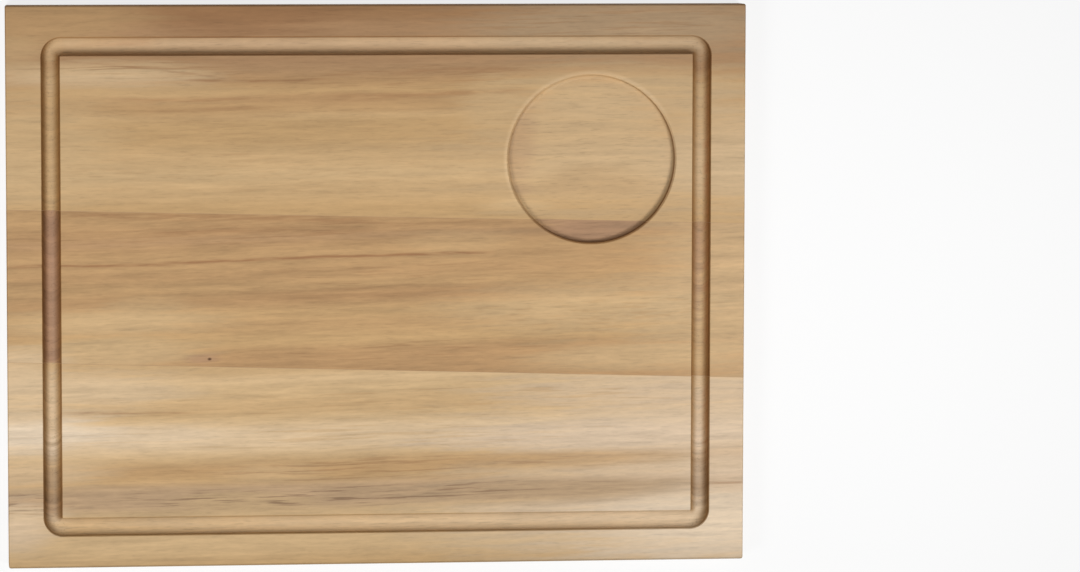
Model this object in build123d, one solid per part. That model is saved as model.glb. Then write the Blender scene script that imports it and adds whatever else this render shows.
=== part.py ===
from build123d import *
import os
from math import acos, cos, degrees, radians, sin, sqrt

# A steak board glued up edge to edge from three wide wooden staves, with a juice groove
# and a round pot recess routed into its upper face.
# Millimetres. X runs along the grain, Y from the front edge to the back edge, Z up.
# The origin is the middle of the underside.

# Glued-up blank; stave widths are taken along Y at the middle of the board
board_length = 330.0
board_thickness = 15.0
back_stave_width = 94.2
middle_stave_width = 68.4
front_stave_width = 87.1
glue_thickness = 0.15
front_joint_skew = 1.7  # degrees that the front glue joint turns away from the board's long edges
back_joint_skew = 1.4  # degrees that the back glue joint turns away from the board's long edges
corner_radius = 1.0  # upright corners of the outline
edge_radius = 0.8  # sanded edges all round the upper face and the underside

# Routed cuts
rim_ease = 0.4  # height taken off each rim, as an even bevel on the groove and a round on the recess
groove_nose_radius = 3.9
groove_straight_wall = 0.2
groove_inner_corner = 0.3  # radius left on the corners of the field inside the groove
groove_end_margin = 15.4  # wood between the groove's mouth and the end of the board
groove_side_margin = 13.9  # wood between the groove's mouth and the long edge
recess_radius = 37.5
recess_rim_radius = 2.0
recess_rim_crest = 0.05  # how far the round would rise above the upper face if it ran on
recess_straight_wall = 0.9
recess_cove_radius = 1.8
recess_end_inset = 69.3  # from the right-hand end to the middle of the recess
recess_back_inset = 69.1  # from the back edge to the middle of the recess

# Worked out from the sizes above
board_width = back_stave_width + middle_stave_width + front_stave_width + 2 * glue_thickness
front_joint_low = front_stave_width - board_width / 2
front_joint_high = front_joint_low + glue_thickness
back_joint_low = front_joint_high + middle_stave_width
back_joint_high = back_joint_low + glue_thickness
groove_depth = groove_nose_radius + groove_straight_wall + rim_ease
groove_half_mouth = groove_nose_radius + rim_ease
recess_depth = recess_cove_radius + recess_straight_wall + rim_ease
recess_rim_turn = acos(1 - (rim_ease + recess_rim_crest) / recess_rim_radius)
cutter_headroom = groove_inner_corner / 2  # how far the cutters stand above the upper face


def glued_blank():
    """The whole board before routing, with rounded upright corners and sanded edges."""
    outline = RectangleRounded(board_length, board_width, corner_radius)
    blank = extrude(outline, board_thickness)
    underside = blank.faces().sort_by(Axis.Z)[0]
    upper_face = blank.faces().sort_by(Axis.Z)[-1]
    return fillet(underside.edges() + upper_face.edges(), edge_radius)


def routed_half_section(half_width, nose_radius, depth, rim):
    """Half of a cut seen along its run, from its middle line out to the given rim.

    The upper face of the board is at height 0. The rim starts at the upper end of the wall.
    """
    floor_end = (half_width - nose_radius, -depth)
    nose_end = (half_width, nose_radius - depth)
    nose_turn = nose_radius * sqrt(0.5)
    nose_middle = (half_width - nose_radius + nose_turn, nose_radius - nose_turn - depth)
    nose = ThreePointArc(floor_end, nose_middle, nose_end)
    wall = Line(nose_end, rim @ 0)
    lines = [nose, wall, rim, Polyline(rim @ 1, (0, cutter_headroom), (0, -depth))]
    if half_width > nose_radius:
        lines.append(Line((0, -depth), floor_end))
    return make_face(lines)


def groove_cutter():
    """The round-nosed groove section carried round a rectangle with turned corners."""
    inset_x = groove_end_margin + groove_half_mouth
    inset_y = groove_side_margin + groove_half_mouth
    turn_radius = groove_half_mouth + groove_inner_corner
    route_outline = RectangleRounded(board_length - 2 * inset_x, board_width - 2 * inset_y, turn_radius)
    route = Pos(Z=board_thickness) * route_outline.wire()
    rim_start = (groove_nose_radius, -rim_ease)
    rim_end = (groove_half_mouth + cutter_headroom, cutter_headroom)
    rim = Line(rim_start, rim_end)
    half = routed_half_section(groove_nose_radius, groove_nose_radius, groove_depth, rim)
    section = half + mirror(half, about=Plane.YZ)
    across = Vector(0, 0, 1).cross(route % 0)
    start = Plane(origin=route @ 0, x_dir=across, z_dir=route % 0)
    return sweep(start * section, path=route)


def recess_cutter():
    """The turned cutter of the round recess, with a coved floor and a rounded rim."""
    rim_reach = recess_radius + recess_rim_radius * sin(recess_rim_turn)
    rim_centre = (rim_reach, recess_rim_crest - recess_rim_radius)
    rim = CenterArc(rim_centre, recess_rim_radius, 90 + degrees(recess_rim_turn), -degrees(recess_rim_turn))
    half = routed_half_section(recess_radius, recess_cove_radius, recess_depth, rim)
    turned = revolve(Plane.XZ * half, axis=Axis.Z)
    centre_x = board_length / 2 - recess_end_inset
    centre_y = board_width / 2 - recess_back_inset
    return Pos(centre_x, centre_y, board_thickness) * turned


def behind_joint(joint_y, skew):
    """All the space behind one face of a glue joint, which crosses the middle of the board at joint_y."""
    reach = 2 * (board_length + board_width)
    space = Box(reach, reach, reach, align=(Align.CENTER, Align.MIN, Align.CENTER))
    return Rot(Z=-skew) * Pos(Y=joint_y * cos(radians(skew))) * space


def board_pieces():
    """The routed board taken apart at its glue joints, from the back edge to the front."""
    rest_of_board = glued_blank() - groove_cutter() - recess_cutter()
    joint_faces = {
        "back_stave": (back_joint_high, back_joint_skew),
        "back_glue_line": (back_joint_low, back_joint_skew),
        "middle_stave": (front_joint_high, front_joint_skew),
        "front_glue_line": (front_joint_low, front_joint_skew),
    }
    pieces = {}
    for node, (joint_y, skew) in joint_faces.items():
        space = behind_joint(joint_y, skew)
        pieces[node] = rest_of_board & space
        rest_of_board = rest_of_board - space
    pieces["front_stave"] = rest_of_board
    return pieces


os.makedirs("parts", exist_ok=True)
for node, piece in board_pieces().items():
    export_step(piece, f"parts/{node}.step")
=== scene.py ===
from math import radians

import bpy
from mathutils import Euler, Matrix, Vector


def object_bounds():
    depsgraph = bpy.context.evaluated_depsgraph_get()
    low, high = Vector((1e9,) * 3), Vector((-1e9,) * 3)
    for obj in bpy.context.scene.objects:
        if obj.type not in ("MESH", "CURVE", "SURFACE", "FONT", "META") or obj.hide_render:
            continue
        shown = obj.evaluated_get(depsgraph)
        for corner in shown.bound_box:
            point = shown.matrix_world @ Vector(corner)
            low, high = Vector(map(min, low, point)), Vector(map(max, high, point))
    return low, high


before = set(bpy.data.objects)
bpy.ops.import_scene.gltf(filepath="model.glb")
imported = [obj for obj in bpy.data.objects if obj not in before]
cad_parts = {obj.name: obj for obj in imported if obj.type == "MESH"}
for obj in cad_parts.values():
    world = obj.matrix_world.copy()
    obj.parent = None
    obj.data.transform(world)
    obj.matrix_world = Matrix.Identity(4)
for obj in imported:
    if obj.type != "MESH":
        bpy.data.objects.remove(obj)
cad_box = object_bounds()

# A steak board of three oiled wooden staves, lying on a white floor in soft studio light.
# Places and sizes in the materials are millimetres in the board's own frame: x along the
# grain, y from the front edge to the back edge, z up. Camera, floor and lamps are in metres.

MM_PER_METRE = 1000.0
BOARD_TOP = cad_box[1][2] * MM_PER_METRE
BOARD_END = cad_box[1][0] * MM_PER_METRE
BOARD_SIDE = cad_box[1][1] * MM_PER_METRE
FACE_START = 13.8  # height above which wood counts as upper face
CUT_START = 12.4  # height below which wood counts as floor of a cut
CUT_END = 9.5  # height just below the deepest cut
EDGE_STRIP = 6.0  # width of a strip along the outline that holds no cut
CROSS_RUN_START = 141.0  # distance from the middle at which the groove runs across the grain
WALL_HEIGHTS = (12.6, 13.6)  # heights between which the walls of the cuts get painted shade
RECESS_WALL_HEIGHTS = (12.2, 13.4)  # the same for the painted shade on the wall of the recess
RECESS_MIDDLE = (95.7, 55.9)
RECESS_REACH = 40.2  # radius of the recess, its rounded rim and a narrow ring outside it

# Wood and glue tones as they show on a screen, red, green and blue from 0 to 255
TONES = {
    "russet": (146, 105, 70),
    "umber": (154, 116, 79),
    "walnut": (164, 128, 92),
    "chestnut": (170, 135, 98),
    "brown": (176, 139, 97),
    "tan": (183, 147, 103),
    "straw": (189, 154, 108),
    "honey": (194, 161, 117),
    "wheat": (199, 168, 125),
    "pale": (204, 174, 133),
    "cream": (209, 182, 146),
    "bone": (213, 189, 161),
    "ivory": (227, 206, 179),
    "ash": (182, 152, 118),
    "slate": (172, 144, 111),
    "smoke": (134, 106, 80),
    "mauve": (168, 131, 103),
    "cedar": (232, 178, 132),
    "bark": (84, 56, 34),
    "glue": (166, 130, 92),
}

# What oil makes of a colour, and the painted shade and highlight on walls and rims, as factors on its red,
# green and blue
SOAKED = (0.52, 0.39, 0.23)
PAINTED_WALL_SHADE = (0.72, 0.63, 0.50)
PAINTED_RECESS_SHADE = (0.52, 0.43, 0.34)
PAINTED_RECESS_HIGHLIGHT = (1.14, 1.17, 1.24)


def linear(name):
    """A named tone as a colour for a shader."""
    colour = []
    for value in TONES[name]:
        share = value / 255
        colour.append(share / 12.92 if share <= 0.04045 else ((share + 0.055) / 1.055) ** 2.4)
    return (*colour, 1.0)


class Recipe:
    """The nodes of one material, added and wired one call at a time."""

    def __init__(self, name):
        self.material = bpy.data.materials.new(name)
        self.material.use_nodes = True
        self.nodes = self.material.node_tree.nodes
        self.links = self.material.node_tree.links
        self.shader = self.nodes["Principled BSDF"]

    def feed(self, socket, value):
        """Wires a socket to another node, or sets it to a fixed value."""
        if isinstance(value, bpy.types.NodeSocket):
            self.links.new(value, socket)
        else:
            socket.default_value = value

    def math(self, operation, first, second=0.0, clamp=False):
        """One sum, product or other operation on two numbers."""
        node = self.nodes.new("ShaderNodeMath")
        node.operation = operation
        node.use_clamp = clamp
        self.feed(node.inputs[0], first)
        self.feed(node.inputs[1], second)
        return node.outputs[0]

    def total(self, *values):
        """The sum of several numbers."""
        result = values[0]
        for value in values[1:]:
            result = self.math("ADD", result, value)
        return result

    def product(self, *values):
        """Several numbers multiplied."""
        result = values[0]
        for value in values[1:]:
            result = self.math("MULTIPLY", result, value)
        return result

    def vector(self, operation, first, second):
        """The same for two vectors or colours."""
        node = self.nodes.new("ShaderNodeVectorMath")
        node.operation = operation
        self.feed(node.inputs[0], first)
        self.feed(node.inputs[1], second)
        return node.outputs[0]

    def scaled(self, vector, factor):
        """A vector or colour times a number."""
        node = self.nodes.new("ShaderNodeVectorMath")
        node.operation = "SCALE"
        self.feed(node.inputs[0], vector)
        self.feed(node.inputs["Scale"], factor)
        return node.outputs[0]

    def split(self, vector):
        """The x, y and z of a vector."""
        node = self.nodes.new("ShaderNodeSeparateXYZ")
        self.feed(node.inputs[0], vector)
        return node.outputs[0], node.outputs[1], node.outputs[2]

    def join(self, x, y, z):
        """A vector made of x, y and z."""
        node = self.nodes.new("ShaderNodeCombineXYZ")
        for socket, value in zip(node.inputs, (x, y, z)):
            self.feed(socket, value)
        return node.outputs[0]

    def fade(self, value, start, end, low=0.0, high=1.0):
        """Goes smoothly from low to high while the value goes from start to end."""
        node = self.nodes.new("ShaderNodeMapRange")
        node.interpolation_type = "SMOOTHSTEP"
        self.feed(node.inputs["Value"], value)
        self.feed(node.inputs["From Min"], start)
        self.feed(node.inputs["From Max"], end)
        self.feed(node.inputs["To Min"], low)
        self.feed(node.inputs["To Max"], high)
        return node.outputs[0]

    def noise(self, place, lengths, seed, detail=2.0):
        """Noise about 0, mostly within half a unit, with clouds of these lengths along x, y and z."""
        stretch = self.vector("MULTIPLY", place, [1 / length for length in lengths])
        moved = self.vector("ADD", stretch, (seed * 7.3, seed * 3.1, seed * 5.7))
        node = self.nodes.new("ShaderNodeTexNoise")
        node.inputs["Scale"].default_value = 1.0
        node.inputs["Detail"].default_value = detail
        self.feed(node.inputs["Vector"], moved)
        return self.math("SUBTRACT", node.outputs[0], 0.5)

    def mix(self, factor, first, second):
        """One colour turned into another by a factor."""
        node = self.nodes.new("ShaderNodeMix")
        node.data_type = "RGBA"
        self.feed(node.inputs[0], factor)
        self.feed(node.inputs[6], first)
        self.feed(node.inputs[7], second)
        return node.outputs[2]

    def tinted(self, share, colour, factors):
        """A colour brought by a share towards its product with factors for red, green and blue."""
        return self.mix(share, colour, self.vector("MULTIPLY", colour, factors))

    def distance(self, spot, middle, half_size):
        """How far a spot of the upper face lies from a middle, which is 1 on an oval of this half size."""
        offset = self.vector("SUBTRACT", spot, (*middle, 0.0))
        share = self.vector("DIVIDE", offset, (*half_size, 1.0))
        node = self.nodes.new("ShaderNodeVectorMath")
        node.operation = "LENGTH"
        self.feed(node.inputs[0], share)
        return node.outputs["Value"]

    def cover(self, spot, middle, half_size, ragged):
        """How fully a stain of this half size covers a spot, from 0 to 1, with a ragged border."""
        return self.fade(self.total(self.distance(spot, middle, half_size), ragged), 1.15, 0.35)

    def bands(self, value, stops):
        """Named tones laid out along a value, each at its own place."""
        places = [place for place, tone in stops]
        low, high = min(places), max(places)
        node = self.nodes.new("ShaderNodeValToRGB")
        node.color_ramp.interpolation = "B_SPLINE"
        elements = node.color_ramp.elements
        elements.remove(elements[-1])
        for index, (place, tone) in enumerate(sorted(stops)):
            share = (place - low) / (high - low)
            element = elements[0] if index == 0 else elements.new(share)
            element.position = share
            element.color = linear(tone)
        spread = self.math("DIVIDE", self.math("SUBTRACT", value, low), high - low, clamp=True)
        self.feed(node.inputs[0], spread)
        return node.outputs[0]

    def bump(self, height, strength, distance):
        """Lets the surface look as if it rose and sank with a height."""
        node = self.nodes.new("ShaderNodeBump")
        node.inputs["Strength"].default_value = strength
        node.inputs["Distance"].default_value = distance
        self.feed(node.inputs["Height"], height)
        self.feed(self.shader.inputs["Normal"], node.outputs[0])


# What is known of each stave, in millimetres. A y is the one at which the grain passes the
# middle of the board, except in lines and cuts, which are given by their real places.
# pith: where the tree's middle lies beside the stave, as y and z.
# rise: how far the grain climbs towards the back edge for each millimetre along the board.
# contrast: how strongly lighter and darker streaks alternate.
# bands: tones across the upper face.
# stains: tone, middle (x, y), half size (x, y) and strength of larger patches; the pale ones at the left and
# right ends are partly the wood's tone and partly painted light.
# dashes: the same for places where short dark strokes lie close, then the length of a stroke.
# lines: start (x, y), end (x, y), half width and strength of each single dark grain line.
# cuts: stains that only show in the cuts below the upper face.
BACK = {
    "seed": 1,
    "contrast": 0.85,
    "pith": (175.0, -55.0),
    "rise": 0.010,
    "bands": [
        (125.0, "umber"), (120.0, "umber"), (116.0, "walnut"), (111.0, "walnut"), (101.0, "walnut"),
        (97.0, "chestnut"), (92.0, "brown"), (89.0, "tan"), (87.0, "straw"), (85.0, "brown"),
        (81.0, "tan"), (78.5, "tan"), (76.5, "honey"), (74.0, "straw"), (70.0, "straw"),
        (65.0, "straw"), (60.0, "honey"), (55.0, "honey"), (50.0, "wheat"), (46.0, "honey"),
        (41.0, "honey"), (36.5, "straw"), (33.0, "straw"), (29.0, "straw"),
    ],
    # The pale stains at the left and right ends are partly painted light, which makes the ends paler.
    "stains": [
        ("russet", (-62.0, 118.5), (54.0, 10.0), 0.55),
        ("tan", (-146.0, 118.0), (56.0, 13.0), 0.8),
        ("slate", (115.0, 113.0), (95.0, 15.0), 0.95),
        ("pale", (-130.0, 96.5), (65.0, 6.5), 0.75),
        ("honey", (-120.0, 87.0), (85.0, 6.0), 0.6),
        ("wheat", (110.0, 86.0), (78.0, 12.0), 0.75),
        ("wheat", (-155.0, 62.0), (45.0, 30.0), 0.7),
        ("cream", (175.0, 56.0), (150.0, 40.0), 0.28),
        ("cream", (162.0, 55.0), (45.0, 26.0), 0.4),
        ("tan", (-75.0, 78.0), (46.0, 5.0), 0.5),
        ("brown", (-22.0, 84.0), (46.0, 4.0), 0.55),
        ("honey", (-162.0, 106.5), (22.0, 8.0), 0.6),
        ("wheat", (62.0, 36.0), (22.0, 5.0), 0.7),
        ("cream", (-128.0, 93.0), (62.0, 5.0), 0.4),
        ("wheat", (52.0, 78.0), (18.0, 16.0), 0.55),
    ],
    "dashes": [
        ("umber", (-105.0, 98.5), (55.0, 6.0), 0.55, 45.0),
        ("umber", (5.0, 93.0), (75.0, 9.0), 0.45, 30.0),
        ("umber", (100.0, 115.0), (80.0, 10.0), 0.4, 25.0),
        ("brown", (-40.0, 60.0), (170.0, 34.0), 0.2, 12.0),
    ],
    "lines": [
        ((-84.0, 91.8), (-22.0, 91.6), 0.4, 0.65),
        ((-138.0, 100.5), (-70.0, 93.0), 0.4, 0.4),
        ((-20.0, 84.0), (66.0, 86.5), 1.2, 0.4),
        ((8.0, 95.0), (66.0, 96.5), 1.2, 0.45),
        ((-115.0, 83.2), (-55.0, 83.8), 0.9, 0.4),
        ((-100.0, 79.0), (-46.0, 80.0), 0.8, 0.35),
        ((-66.0, 59.0), (-62.0, 59.1), 0.5, 0.8),
    ],
    "cuts": [
        ("cream", (-20.0, 106.8), (240.0, 9.0), 0.55),
        ("honey", (-145.3, 78.0), (9.0, 50.0), 0.6),
        ("cedar", (151.6, 50.0), (4.4, 70.0), 0.9),
        ("pale", (95.7, 66.0), (46.0, 34.0), 0.5),
        # Partly the wood's tone and partly painted shade: the front of the recess floor darkened beside its
        # shaded wall.
        ("tan", (98.0, 45.0), (36.0, 9.0), 0.4),
        ("mauve", (62.0, 62.0), (11.0, 28.0), 0.3),
    ],
}
MIDDLE = {
    "seed": 2,
    "contrast": 1.25,
    "pith": (70.0, -60.0),
    "rise": 0.0234,
    "bands": [
        (34.0, "tan"), (28.0, "brown"), (25.0, "brown"), (22.5, "chestnut"), (20.0, "brown"), (15.5, "tan"),
        (13.0, "brown"), (11.0, "tan"), (7.0, "brown"), (3.0, "tan"), (0.0, "tan"), (-3.5, "brown"),
        (-6.0, "brown"), (-8.5, "tan"), (-11.5, "straw"), (-15.0, "tan"), (-18.0, "tan"),
        (-22.0, "straw"), (-25.0, "straw"), (-28.0, "brown"), (-31.0, "brown"), (-34.0, "brown"),
        (-38.0, "brown"), (-43.0, "brown"),
    ],
    # The pale stains at the left and right ends are partly painted light, which makes the ends paler.
    "stains": [
        ("russet", (10.0, -3.2), (80.0, 3.5), 0.22),
        ("wheat", (-118.0, -13.0), (62.0, 8.0), 0.75),
        ("wheat", (-122.0, -27.0), (54.0, 9.0), 0.8),
        ("cream", (-162.0, -30.0), (28.0, 9.0), 0.75),
        ("wheat", (95.0, -12.0), (78.0, 13.0), 0.75),
        ("pale", (165.0, -6.0), (60.0, 60.0), 0.6),
        ("wheat", (120.0, -35.0), (70.0, 8.0), 0.75),
        ("honey", (35.0, 18.0), (32.0, 7.0), 0.4),
        ("honey", (-103.0, -5.0), (20.0, 4.0), 0.5),
        ("mauve", (-78.0, -30.2), (10.0, 2.6), 0.5),
        ("bark", (-75.4, -30.3), (1.2, 0.8), 0.95),
    ],
    "dashes": [
        ("umber", (-60.0, 25.0), (125.0, 6.0), 0.45, 40.0),
        ("umber", (20.0, 5.0), (95.0, 8.0), 0.35, 22.0),
        ("umber", (20.0, -30.0), (85.0, 7.0), 0.45, 25.0),
        ("tan", (100.0, -15.0), (70.0, 14.0), 0.45, 14.0),
    ],
    "lines": [
        ((-163.0, 9.6), (-95.0, 10.4), 0.6, 0.85),
        ((-94.0, 11.4), (46.0, 14.5), 0.6, 0.9),
        ((-100.0, 24.2), (-5.0, 24.8), 1.3, 0.35),
        ((-142.0, 32.6), (-3.0, 29.2), 1.5, 0.5),
    ],
    "cuts": [
        ("mauve", (-145.3, 2.0), (9.0, 75.0), 0.95),
        ("mauve", (143.0, 16.0), (6.0, 40.0), 0.5),
        ("cedar", (151.6, 0.0), (4.4, 70.0), 0.9),
        ("mauve", (95.7, 20.0), (40.0, 16.0), 0.7),
    ],
}
FRONT = {
    "seed": 3,
    "contrast": 1.1,
    "pith": (35.0, -80.0),
    "rise": 0.020,
    "bands": [
        (-34.0, "honey"), (-37.5, "honey"), (-40.0, "pale"), (-44.0, "wheat"), (-47.0, "wheat"),
        (-51.0, "honey"), (-55.0, "honey"), (-57.5, "wheat"), (-60.0, "pale"), (-63.0, "cream"),
        (-70.0, "cream"), (-73.0, "pale"), (-76.0, "honey"), (-79.0, "tan"), (-82.0, "tan"),
        (-85.0, "straw"), (-88.0, "ash"), (-92.0, "ash"), (-95.0, "ash"), (-97.0, "ash"),
        (-100.0, "wheat"), (-110.0, "wheat"), (-117.0, "wheat"), (-123.0, "straw"),
    ],
    # The pale stains at the left and right ends are partly painted light, which makes the ends paler.
    "stains": [
        ("ivory", (-158.0, -61.5), (50.0, 9.5), 0.9),
        ("ivory", (-105.0, -64.0), (55.0, 7.0), 0.3),
        ("cream", (-135.0, -44.0), (65.0, 11.0), 0.75),
        ("cream", (120.0, -50.0), (80.0, 10.0), 0.55),
        ("bone", (115.0, -70.5), (112.0, 7.5), 0.8),
        ("bone", (155.0, -86.0), (28.0, 7.0), 0.5),
        ("bone", (88.0, -102.5), (58.0, 5.0), 0.8),
        ("bone", (-162.0, -103.0), (24.0, 13.0), 0.6),
        ("pale", (-50.0, -82.0), (30.0, 5.0), 0.4),
        ("wheat", (-60.0, -95.0), (34.0, 5.0), 0.6),
        ("pale", (105.0, -85.0), (90.0, 6.0), 0.6),
        ("cream", (-155.0, -80.0), (45.0, 8.0), 0.6),
        ("cream", (-162.0, -53.0), (26.0, 7.0), 0.7),
        ("cream", (-162.0, -98.0), (26.0, 5.0), 0.8),
        ("cream", (90.0, -108.0), (95.0, 18.0), 0.7),
        ("bone", (185.0, -80.0), (150.0, 60.0), 0.6),
        ("slate", (82.0, -93.5), (90.0, 5.5), 0.85),
        ("ivory", (162.0, -112.0), (80.0, 19.0), 0.75),
        ("tan", (84.0, -80.5), (66.0, 4.4), 0.65),
        ("slate", (78.0, -96.8), (62.0, 4.5), 0.7),
        ("cream", (-162.0, -36.0), (26.0, 9.0), 0.7),
    ],
    "dashes": [
        ("smoke", (-10.0, -93.5), (140.0, 5.5), 0.75, 24.0),
        ("smoke", (-155.0, -93.0), (26.0, 5.0), 0.7, 16.0),
        ("umber", (0.0, -81.0), (115.0, 6.0), 0.45, 30.0),
        ("tan", (0.0, -52.0), (165.0, 9.0), 0.45, 28.0),
        ("straw", (-20.0, -66.0), (165.0, 8.0), 0.35, 40.0),
    ],
    "lines": [
        ((-141.0, -56.2), (-84.0, -56.0), 0.5, 0.5),
        ((-170.0, -101.4), (-150.0, -101.2), 0.4, 0.5),
        ((144.0, -91.0), (170.0, -90.6), 0.5, 0.5),
    ],
    "cuts": [
        ("cream", (-145.3, -54.0), (9.0, 22.0), 0.9),
        ("smoke", (-145.3, -88.0), (9.0, 18.0), 0.45),
        ("cream", (60.0, -106.8), (200.0, 9.0), 0.65),
        ("cedar", (151.6, -60.0), (4.4, 45.0), 0.7),
        ("smoke", (146.5, -90.0), (7.0, 15.0), 0.35),
    ],
}


def warped_grain(wood, place, stave):
    """Where a point lies in the grain: along it, across it and down from the upper face.

    The second value is the place at which the point's growth ring comes out of the upper face.
    """
    x, y, z = wood.split(place)
    sway = wood.noise(place, (110.0, 26.0, 26.0), stave["seed"])
    flutter = wood.noise(place, (22.0, 5.0, 5.0), stave["seed"] + 10)
    across = wood.total(
        y,
        wood.product(x, -stave["rise"]),
        wood.product(sway, 3.0),
        wood.product(flutter, 0.5),
    )
    pith_y, pith_z = stave["pith"]
    from_pith = wood.math("SUBTRACT", across, pith_y)
    height = wood.math("SUBTRACT", z, pith_z)
    ring = wood.total(wood.product(from_pith, from_pith), wood.product(height, height))
    on_face = wood.math("MAXIMUM", wood.math("SUBTRACT", ring, (BOARD_TOP - pith_z) ** 2), 0.0)
    face_y = wood.math("SUBTRACT", pith_y, wood.math("SQRT", on_face))
    return wood.join(x, across, z), wood.join(x, face_y, 0.0)


def stained(wood, colour, spot, ragged, stains, share):
    """A colour with stains on it, each as strong as its share says at the point."""
    for tone, middle, half_size, strength in stains:
        cover = wood.cover(spot, middle, half_size, ragged)
        colour = wood.mix(wood.product(cover, share, strength), colour, linear(tone))
    return colour


def dashed(wood, colour, rings, ragged, stave):
    """A colour with short dark strokes along the grain."""
    for index, (tone, middle, half_size, strength, length) in enumerate(stave["dashes"]):
        strokes = wood.noise(rings, (length, 1.0, 1.0), stave["seed"] * 9 + index + 20, detail=4.0)
        stroke = wood.fade(strokes, 0.03, 0.13)
        cover = wood.cover(rings, middle, half_size, ragged)
        colour = wood.mix(wood.product(cover, stroke, strength), colour, linear(tone))
    return colour


def grain_lines(wood, rings, stave):
    """How strongly the single dark grain lines show, from 0 to 1."""
    x, y, _ = wood.split(rings)
    wobble = wood.noise(rings, (30.0, 6.0, 6.0), stave["seed"] + 80)
    broken = wood.noise(rings, (14.0, 1.2, 1.2), stave["seed"] + 84)
    worn = wood.fade(broken, -0.2, 0.1, 0.25, 1.0)
    shown = 0.0
    for start, end, half_width, strength in stave["lines"]:
        slope = (end[1] - start[1]) / (end[0] - start[0])
        drop = wood.total(
            y,
            wood.product(x, stave["rise"] - slope),
            slope * start[0] - start[1],
            wood.product(wobble, 2.0),
        )
        near = wood.fade(wood.math("ABSOLUTE", drop), half_width * 2, 0.0)
        begun = wood.fade(x, start[0] - 10.0, start[0] + 10.0)
        not_over = wood.fade(x, end[0] + 10.0, end[0] - 10.0)
        shown = wood.math("MAXIMUM", shown, wood.product(near, begun, not_over, worn, strength))
    return shown


def grain_noises(wood, grain, rings, seed):
    """Broad bands, streaks, flecks, fibres and pores, as five noises."""
    broad = wood.noise(rings, (150.0, 5.0, 5.0), seed + 40)
    streak = wood.noise(rings, (28.0, 2.2, 2.2), seed + 50, detail=3.0)
    fleck = wood.noise(rings, (6.0, 1.1, 1.1), seed + 54)
    fibre = wood.noise(grain, (2.5, 0.6, 0.6), seed + 60)
    pores = wood.fade(wood.noise(grain, (7.0, 0.6, 0.6), seed + 64), 0.06, 0.2)
    return broad, streak, fleck, fibre, pores


def figured(wood, stave, place, rings, noises, in_cut):
    """The colour of bands, stains, strokes and lines, lightened and darkened by the grain."""
    x, y, z = wood.split(place)
    broad, streak, fleck, fibre, pores = noises
    ragged = wood.total(wood.product(broad, 0.8), wood.product(streak, 0.9))
    colour = wood.bands(wood.split(rings)[1], stave["bands"])
    colour = stained(wood, colour, rings, ragged, stave["stains"], 1.0)
    colour = dashed(wood, colour, rings, ragged, stave)
    lines = wood.product(grain_lines(wood, rings, stave), wood.fade(z, CUT_START, FACE_START))
    colour = wood.mix(lines, colour, linear("russet"))
    colour = stained(wood, colour, wood.join(x, y, 0.0), ragged, stave["cuts"], in_cut)
    streaks = wood.total(wood.product(broad, 0.34), wood.product(streak, 0.46), wood.product(fleck, 0.2))
    open_pores = wood.fade(in_cut, 0.0, 1.0, -0.09, -0.14)
    shade = wood.total(
        1.01,
        wood.product(streaks, stave["contrast"]),
        wood.product(fibre, 0.09),
        wood.product(pores, open_pores),
    )
    return wood.scaled(colour, shade)


def soaked_ends(wood, colour, end_grain, inside, at_recess):
    """End grain, which drinks oil and turns dark, most of all in the groove."""
    share = wood.product(
        end_grain,
        wood.fade(inside, 0.0, 1.0, 0.4, 1.0),
        wood.fade(at_recess, 0.0, 1.0, 1.0, 0.4),
    )
    return wood.tinted(share, colour, SOAKED)


def shaded_cut_walls(wood, colour, place, lean_z, inside):
    """Painted shade: the walls and rims of the cuts darkened brown."""
    z = wood.split(place)[2]
    rim = wood.product(wood.fade(lean_z, 0.8, 0.66), wood.fade(z, *WALL_HEIGHTS), inside)
    return wood.tinted(rim, colour, PAINTED_WALL_SHADE)


def recess_rim(wood, colour, place, lean_z, at_recess):
    """The round of the recess, with painted shade darkest at its front and right and a painted highlight on
    its rim at the back left.
    """
    x, y, z = wood.split(place)
    right = wood.math("SUBTRACT", x, RECESS_MIDDLE[0])
    back = wood.math("SUBTRACT", y, RECESS_MIDDLE[1])
    front_right = wood.math("SUBTRACT", wood.product(right, 0.5), back)
    # Painted shade: the recess's wall and cove darkened most at its front and right, where they face away
    # from the light.
    recess_shade = wood.product(
        at_recess,
        wood.fade(lean_z, 0.997, 0.87),
        wood.fade(z, *RECESS_WALL_HEIGHTS),
        wood.fade(front_right, -15.0, 35.0, 0.2, 1.0),
    )
    colour = wood.tinted(recess_shade, colour, PAINTED_RECESS_SHADE)
    # Painted highlight: the rounded rim paler at the recess's back left, where it faces the light.
    recess_highlight = wood.product(
        at_recess,
        wood.fade(lean_z, 0.88, 0.92),
        wood.fade(z, CUT_START, FACE_START),
        wood.fade(front_right, 10.0, -15.0),
    )
    return wood.tinted(recess_highlight, colour, PAINTED_RECESS_HIGHLIGHT)


def torn_runs(wood, colour, place, in_cut, seed):
    """Torn fibres where the groove runs across the grain."""
    off_middle = wood.math("ABSOLUTE", wood.split(place)[0])
    torn = wood.fade(wood.noise(place, (1.1, 1.1, 1.1), seed + 70), 0.08, 0.2)
    cross_run = wood.product(in_cut, wood.fade(off_middle, CROSS_RUN_START - 4.0, CROSS_RUN_START))
    return wood.scaled(colour, wood.fade(wood.product(torn, cross_run), 0.0, 1.0, 1.0, 0.86))


def shaded_long_edges(wood, colour, place):
    """Painted shade: the last millimetre of the long upper edges darkened."""
    _, y, z = wood.split(place)
    arris = wood.product(
        wood.fade(wood.math("ABSOLUTE", y), BOARD_SIDE - 1.2, BOARD_SIDE - 0.4),
        wood.fade(z, BOARD_TOP - 1.5, BOARD_TOP - 0.7),
    )
    return wood.scaled(colour, wood.fade(arris, 0.0, 1.0, 1.0, 0.7))


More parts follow.
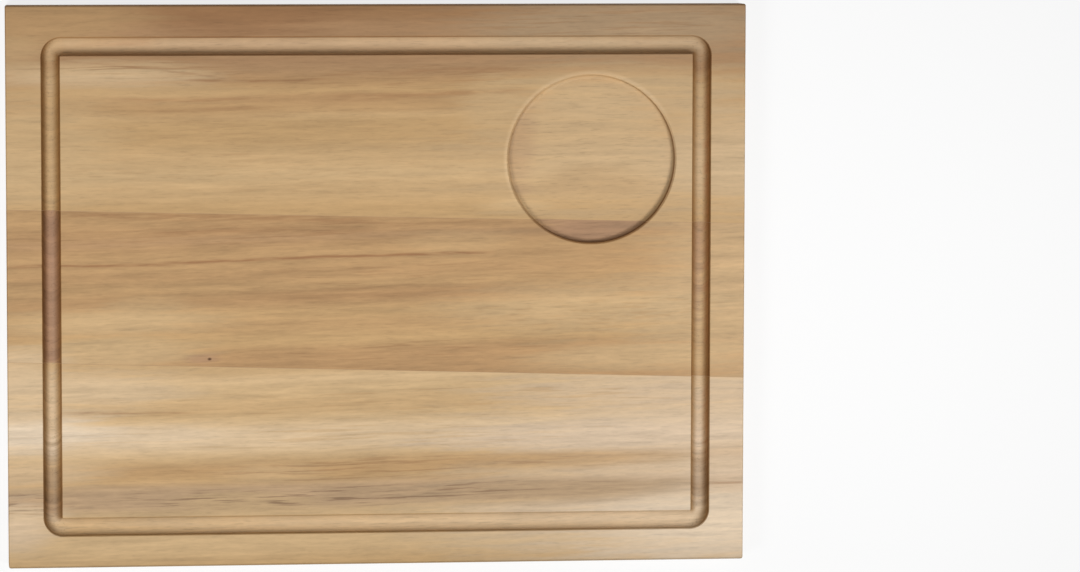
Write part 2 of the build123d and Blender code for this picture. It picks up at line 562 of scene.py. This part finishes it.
def regions(wood, place):
    """Whether a point lies away from the outline, in a cut and at the recess, each from 0 to 1."""
    x, y, z = wood.split(place)
    inside = wood.product(
        wood.fade(wood.math("ABSOLUTE", x), BOARD_END - EDGE_STRIP + 2.0, BOARD_END - EDGE_STRIP),
        wood.fade(wood.math("ABSOLUTE", y), BOARD_SIDE - EDGE_STRIP + 2.0, BOARD_SIDE - EDGE_STRIP),
    )
    in_cut = wood.product(wood.fade(z, FACE_START, CUT_START), wood.fade(z, CUT_END - 1.5, CUT_END))
    from_recess = wood.distance(wood.join(x, y, 0.0), RECESS_MIDDLE, (RECESS_REACH, RECESS_REACH))
    return inside, in_cut, wood.fade(from_recess, 1.0, 0.96)


def wood_material(name, stave):
    """Oiled flat-sawn wood, solid, so that its grain runs on through every cut."""
    wood = Recipe(name)
    seed = stave["seed"]
    coordinates = wood.nodes.new("ShaderNodeTexCoord")
    geometry = wood.nodes.new("ShaderNodeNewGeometry")
    place = wood.scaled(coordinates.outputs["Object"], MM_PER_METRE)
    lean_x, _, lean_z = wood.split(geometry.outputs["Normal"])
    end_grain = wood.fade(wood.math("ABSOLUTE", lean_x), 0.1, 1.0)
    inside, in_cut, at_recess = regions(wood, place)

    grain, rings = warped_grain(wood, place, stave)
    noises = grain_noises(wood, grain, rings, seed)
    colour = figured(wood, stave, place, rings, noises, in_cut)
    colour = soaked_ends(wood, colour, end_grain, inside, at_recess)
    # Painted shade on the walls and rims of the cuts
    colour = shaded_cut_walls(wood, colour, place, lean_z, inside)
    # Painted shade and a painted highlight at the recess's rim
    colour = recess_rim(wood, colour, place, lean_z, at_recess)
    colour = torn_runs(wood, colour, place, in_cut, seed)
    # Painted shade along the long upper edges
    colour = shaded_long_edges(wood, colour, place)
    wood.feed(wood.shader.inputs["Base Color"], colour)

    _, _, fleck, fibre, pores = noises
    rough = wood.total(0.55, wood.product(fleck, 0.2), wood.product(end_grain, 0.12))
    wood.feed(wood.shader.inputs["Roughness"], rough)
    wood.shader.inputs["Specular IOR Level"].default_value = 0.2
    height = wood.total(wood.product(fibre, 0.6), wood.product(fleck, 0.5), wood.product(pores, -0.3))
    wood.bump(height, 0.25, 0.00012)
    return wood.material


def glue_material():
    """Cured glue, darker than the wood, cut through with the staves and faintly cloudy."""
    glue = Recipe("glue_film")
    coordinates = glue.nodes.new("ShaderNodeTexCoord")
    place = glue.scaled(coordinates.outputs["Object"], MM_PER_METRE)
    cloud = glue.noise(place, (14.0, 2.0, 2.0), 91)
    grit = glue.noise(place, (0.8, 0.8, 0.8), 92)
    shade = glue.total(1.0, glue.product(cloud, 0.5), glue.product(grit, 0.2))
    glue.feed(glue.shader.inputs["Base Color"], glue.scaled(linear("glue")[:3], shade))
    glue.feed(glue.shader.inputs["Roughness"], glue.total(0.45, glue.product(cloud, 0.25)))
    glue.bump(grit, 0.2, 0.00005)
    return glue.material


def dress_board():
    """Puts the finished materials on the slots of the board's pieces."""
    glue = glue_material()
    finishes = {
        "back_stave": wood_material("back_wood_oiled", BACK),
        "middle_stave": wood_material("middle_wood_oiled", MIDDLE),
        "front_stave": wood_material("front_wood_oiled", FRONT),
        "back_glue_line": glue,
        "front_glue_line": glue,
    }
    for node, finish in finishes.items():
        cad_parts[node].material_slots[0].material = finish


# Studio, in metres, watts and degrees
FLOOR_HALF = 6.0
FLOOR_LEVEL = -0.0001  # a hair under the board, so that the two flat faces don't lie in one plane
FLOOR_WHITENING = 0.8  # share of the floor that is plain white to the camera and in reflections
SURROUND_LEVEL = 0.18  # brightness of the surround as a light
SOFTBOX_PLACE = (0.45, -0.25, 0.65)  # of the right softbox, which the left one mirrors
SOFTBOX_TARGET = (0.16, 0.03, 0.0)
SOFTBOX_SIZE = 0.3
SOFTBOX_POWER = 0.63
SOFTBOX_BEAM = 66.0  # degrees within which its light stays


def seen_directly(nodes, links):
    """1 on rays that show the floor or the world itself or its reflection, 0 on rays that light."""
    light_path = nodes.new("ShaderNodeLightPath")
    total = light_path.outputs["Is Camera Ray"]
    for name in ("Is Glossy Ray", "Is Transmission Ray"):
        either = nodes.new("ShaderNodeMath")
        either.operation = "MAXIMUM"
        links.new(total, either.inputs[0])
        links.new(light_path.outputs[name], either.inputs[1])
        total = either.outputs[0]
    return total


def build_floor():
    """A white floor that keeps the board's soft shadow."""
    mesh = bpy.data.meshes.new("floor")
    corners = [(-1, -1), (1, -1), (1, 1), (-1, 1)]
    mesh.from_pydata([(x * FLOOR_HALF, y * FLOOR_HALF, FLOOR_LEVEL) for x, y in corners], [], [(0, 1, 2, 3)])
    floor = bpy.data.objects.new("floor", mesh)
    bpy.context.scene.collection.objects.link(floor)
    material = bpy.data.materials.new("floor_white")
    material.use_nodes = True
    nodes, links = material.node_tree.nodes, material.node_tree.links
    nodes.clear()
    paint = nodes.new("ShaderNodeBsdfDiffuse")
    paint.inputs["Color"].default_value = (0.9, 0.9, 0.9, 1.0)
    white = nodes.new("ShaderNodeEmission")
    share = nodes.new("ShaderNodeMath")
    share.operation = "MULTIPLY"
    links.new(seen_directly(nodes, links), share.inputs[0])
    share.inputs[1].default_value = FLOOR_WHITENING
    blend = nodes.new("ShaderNodeMixShader")
    links.new(share.outputs[0], blend.inputs[0])
    links.new(paint.outputs[0], blend.inputs[1])
    links.new(white.outputs[0], blend.inputs[2])
    output = nodes.new("ShaderNodeOutputMaterial")
    links.new(blend.outputs[0], output.inputs["Surface"])
    mesh.materials.append(material)


def build_world():
    """An even white surround, plain white to the camera and dimmer as a light."""
    world = bpy.data.worlds.new("surround")
    bpy.context.scene.world = world
    world.use_nodes = True
    nodes, links = world.node_tree.nodes, world.node_tree.links
    background = nodes["Background"]
    background.inputs["Color"].default_value = (1.0, 1.0, 1.0, 1.0)
    level = nodes.new("ShaderNodeMapRange")
    links.new(seen_directly(nodes, links), level.inputs["Value"])
    level.inputs["To Min"].default_value = SURROUND_LEVEL
    level.inputs["To Max"].default_value = 1.0
    links.new(level.outputs[0], background.inputs["Strength"])


def softbox(name, side):
    """A square white lamp over a front corner, on the left for a side of -1 and on the right for 1."""
    lamp = bpy.data.lights.new(name, "AREA")
    lamp.shape = "SQUARE"
    lamp.size = SOFTBOX_SIZE
    lamp.energy = SOFTBOX_POWER
    lamp.spread = radians(SOFTBOX_BEAM)
    mirror = Vector((side, 1, 1))
    place = Vector(SOFTBOX_PLACE) * mirror
    target = Vector(SOFTBOX_TARGET) * mirror
    holder = bpy.data.objects.new(name, lamp)
    holder.location = place
    holder.rotation_euler = (target - place).to_track_quat("-Z", "Y").to_euler()
    bpy.context.scene.collection.objects.link(holder)


def build_lights():
    """A dim surround and two softboxes high over the front corners, each lighting its own end."""
    build_world()
    softbox("left_softbox", -1)
    softbox("right_softbox", 1)


# The camera looks at the middle of the upper face from a little to the left and the back
CAMERA_DISTANCE = 2.0
CAMERA_TURN = (-4.67, -5.22, -0.04)  # degrees about x, y and z, away from straight down
CAMERA_LENS = 149.6
CAMERA_SHIFT = (0.1496, -0.0004)


def build_camera():
    """A long lens nearly straight above the board."""
    lens = bpy.data.cameras.new("camera")
    lens.lens = CAMERA_LENS
    lens.shift_x, lens.shift_y = CAMERA_SHIFT
    camera = bpy.data.objects.new("camera", lens)
    turn = Euler([radians(angle) for angle in CAMERA_TURN])
    target = Vector((0.0, 0.0, BOARD_TOP / MM_PER_METRE))
    camera.rotation_euler = turn
    camera.location = target + turn.to_matrix() @ Vector((0.0, 0.0, CAMERA_DISTANCE))
    bpy.context.scene.collection.objects.link(camera)
    bpy.context.scene.camera = camera


dress_board()
build_floor()
build_lights()
build_camera()
bpy.context.scene.view_settings.view_transform = "Standard"
